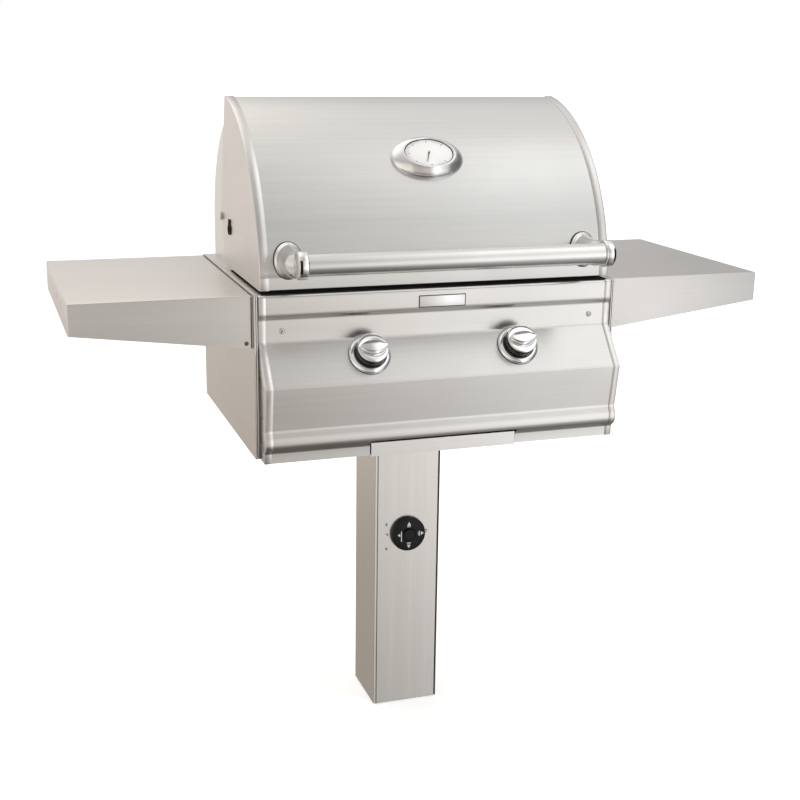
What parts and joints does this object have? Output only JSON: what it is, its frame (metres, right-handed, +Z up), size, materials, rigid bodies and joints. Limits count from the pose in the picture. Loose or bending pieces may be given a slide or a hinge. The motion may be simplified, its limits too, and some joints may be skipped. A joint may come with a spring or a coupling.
{
  "type": "park barbecue grill on a pedestal",
  "caption": "Gas barbecue of stainless sheet on a square post, with a curved hood, a tube handle, two drop-down side shelves, a sloped control panel and a timer dial on the post.",
  "frame": {"origin": "centre of the post's foot, at the ground", "axes": "+X to the right seen from the front, +Y to the back, +Z up"},
  "size_m": [1.314, 0.5864, 1.2266],
  "materials": {
    "post_steel": "fine satin grain up the post",
    "painted_plate": "black paint, satin",
    "fastener": "bright machined",
    "body_steel": "satin grain",
    "fire_steel": "dull, heat-tinted",
    "hood_steel": "satin grain along the width",
    "hood_side_steel": "satin grain",
    "panel_steel": "satin grain along the width",
    "shelf_steel": "satin grain",
    "polished_trim": "polished",
    "badge": "bare plate, satin",
    "knob_chrome": "polished",
    "knob_black": "black, glossy",
    "brass": "machined",
    "pipe_steel": "black iron pipe",
    "cast_burner": "rough, heat-darkened",
    "timer_black": "black, satin",
    "grid_steel": "satin rod",
    "black_rubber": "matt",
    "handle_steel": "fine brushed tube",
    "handle_chrome": "polished",
    "dial_white": "white enamel dial",
    "needle_black": "black"
  },
  "bodies": {
    "grill": {"post_tube": "post_steel", "mount_plate": "painted_plate", "mount_bolts": "fastener", "mount_nuts": "fastener", "floor_plate": "body_steel", "side_panel_right": "body_steel", "side_panel_left": "body_steel", "back_panel": "body_steel", "firebox": "fire_steel", "firebox_funnel": "fire_steel", "rear_cowl": "hood_steel", "hood_pivot_bolts": "fastener", "hood_pivot_bushes": "fastener", "hood_rest_buttons": "black_rubber", "control_panel": "panel_steel", "panel_trim_right": "polished_trim", "panel_trim_left": "polished_trim", "badge_plate": "badge", "panel_screws": "fastener", "knob_bezel_left": "knob_chrome", "knob_bezel_right": "knob_chrome", "gas_valves": "brass", "manifold": "pipe_steel", "gas_inlet_pipe": "pipe_steel", "gas_supply_pipe": "pipe_steel", "burner_left": "cast_burner", "burner_right": "cast_burner", "timer_valve": "brass", "cooking_grid_left": "grid_steel", "cooking_grid_right": "grid_steel", "flavor_grid_left": "fire_steel", "flavor_grid_right": "fire_steel", "warming_rack": "grid_steel", "tray_rails": "body_steel", "shelf_brackets": "body_steel", "shelf_pins": "fastener"},
    "hood": {"hood_skin": "hood_steel", "hood_side_right": "hood_side_steel", "hood_side_left": "hood_side_steel", "hood_band_right": "polished_trim", "hood_band_left": "polished_trim", "handle_tube": "handle_steel", "handle_bracket_left": "handle_chrome", "handle_bracket_right": "handle_chrome", "handle_bolts": "fastener", "thermometer_bezel": "handle_chrome", "thermometer_dial": "dial_white"},
    "needle": {"thermometer_needle": "needle_black"},
    "shelf_left": {"shelf_left": "shelf_steel"},
    "shelf_right": {"shelf_right": "shelf_steel"},
    "knob_left_turn": {"valve_plug_left": "brass"},
    "knob_left_push": {"knob_skirt_left": "knob_black", "knob_cap_left": "knob_chrome"},
    "knob_right_turn": {"valve_plug_right": "brass"},
    "knob_right_push": {"knob_skirt_right": "knob_black", "knob_cap_right": "knob_chrome"},
    "timer_knob": {"timer_knob": "timer_black"},
    "drip_tray": {"drip_tray": "body_steel"}
  },
  "joints": [
    {"name": "hood_hinge", "type": "hinge", "parent": "grill", "child": "hood", "pos_m": [0, 0.09, 1], "axis": [-1, 0, 0], "range_deg": [0, 85]},
    {"name": "needle_turn", "type": "hinge", "parent": "hood", "child": "needle", "pos_m": [0, -0.15507, 1.13413], "axis": [0, -0.7337, 0.6794], "range_deg": [-240, 0]},
    {"name": "shelf_left_fold", "type": "hinge", "parent": "grill", "child": "shelf_left", "pos_m": [-0.3563, 0, 0.818], "axis": [0, -1, 0], "range_deg": [0, 90]},
    {"name": "shelf_right_fold", "type": "hinge", "parent": "grill", "child": "shelf_right", "pos_m": [0.3563, 0, 0.818], "axis": [0, 1, 0], "range_deg": [0, 90]},
    {"name": "knob_left_spin", "type": "hinge", "parent": "grill", "child": "knob_left_turn", "pos_m": [-0.142, -0.25743, 0.7916], "axis": [0, -0.7765, 0.6302], "range_deg": [0, 210]},
    {"name": "knob_left_press", "type": "slide", "parent": "knob_left_turn", "child": "knob_left_push", "axis": [0, 0.7765, -0.6302], "range_m": [0, 0.004], "stiffness_N_per_m": 1500, "springref_m": -0.003},
    {"name": "knob_right_spin", "type": "hinge", "parent": "grill", "child": "knob_right_turn", "pos_m": [0.142, -0.25743, 0.7916], "axis": [0, -0.7765, 0.6302], "range_deg": [0, 210]},
    {"name": "knob_right_press", "type": "slide", "parent": "knob_right_turn", "child": "knob_right_push", "axis": [0, 0.7765, -0.6302], "range_m": [0, 0.004], "stiffness_N_per_m": 1500, "springref_m": -0.003},
    {"name": "timer_spin", "type": "hinge", "parent": "grill", "child": "timer_knob", "pos_m": [0, -0.0685, 0.371], "axis": [0, -1, 0], "range_deg": [-300, 0]},
    {"name": "tray_slide", "type": "slide", "parent": "grill", "child": "drip_tray", "axis": [0, -1, 0], "range_m": [0, 0.26]}
  ]
}
